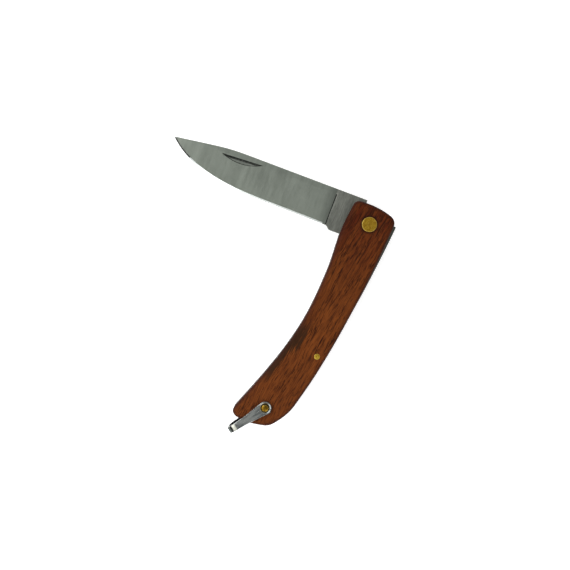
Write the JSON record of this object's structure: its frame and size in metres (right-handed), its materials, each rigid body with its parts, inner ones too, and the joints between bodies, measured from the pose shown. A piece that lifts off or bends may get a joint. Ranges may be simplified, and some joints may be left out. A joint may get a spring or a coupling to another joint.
{
  "type": "folding pocket knife",
  "caption": "Slip-joint folding knife with curved wooden scales, steel liners and back spring, brass rivets, a drop-point blade with a nail nick and a swinging steel bail.",
  "frame": {"origin": "on the blade's pivot axis, in the plane of the rear rivet head's flat face, which the knife lies on", "axes": "+Z along the pivot axis from the rear scale to the front scale, +X from the bail pin to the nose of the handle, +Y towards the edge the blade folds into"},
  "size_m": [0.1191, 0.1071, 0.0162],
  "materials": {
    "blade_steel": "satin, brushed across the blade",
    "spring_steel": "dull ground steel, dark at the edges",
    "liner_steel": "cold-rolled sheet, ground flush",
    "bail_steel": "polished nickel-plated strap",
    "rivet_brass": "ground flat, lightly tarnished",
    "scale_wood": "oiled reddish-brown hardwood with long dark pores"
  },
  "bodies": {
    "handle": {"front_scale": "scale_wood", "rear_scale": "scale_wood", "front_liner": "liner_steel", "rear_liner": "liner_steel", "pivot_rivet_front": "rivet_brass", "pivot_rivet_rear": "rivet_brass", "spring_pin": "rivet_brass", "bail_pin": "rivet_brass"},
    "blade": {"blade": "blade_steel"},
    "back_spring": {"back_spring": "spring_steel"},
    "bail": {"bail": "bail_steel"}
  },
  "joints": [
    {"name": "blade_fold", "type": "hinge", "parent": "handle", "child": "blade", "pos_m": [0, 0, 0.0067], "axis": [0, 0, 1], "range_deg": [-93.5, 80]},
    {"name": "spring_flex", "type": "hinge", "parent": "handle", "child": "back_spring", "pos_m": [-0.06161, -0.00866, 0.0067], "axis": [0, 0, -1], "range_deg": [-1.07, 0], "deforming": ["back_spring"]},
    {"name": "bail_swing", "type": "hinge", "parent": "handle", "child": "bail", "pos_m": [-0.09235, 0, 0.0067], "axis": [0, 0, 1], "range_deg": [-109, 160]}
  ]
}
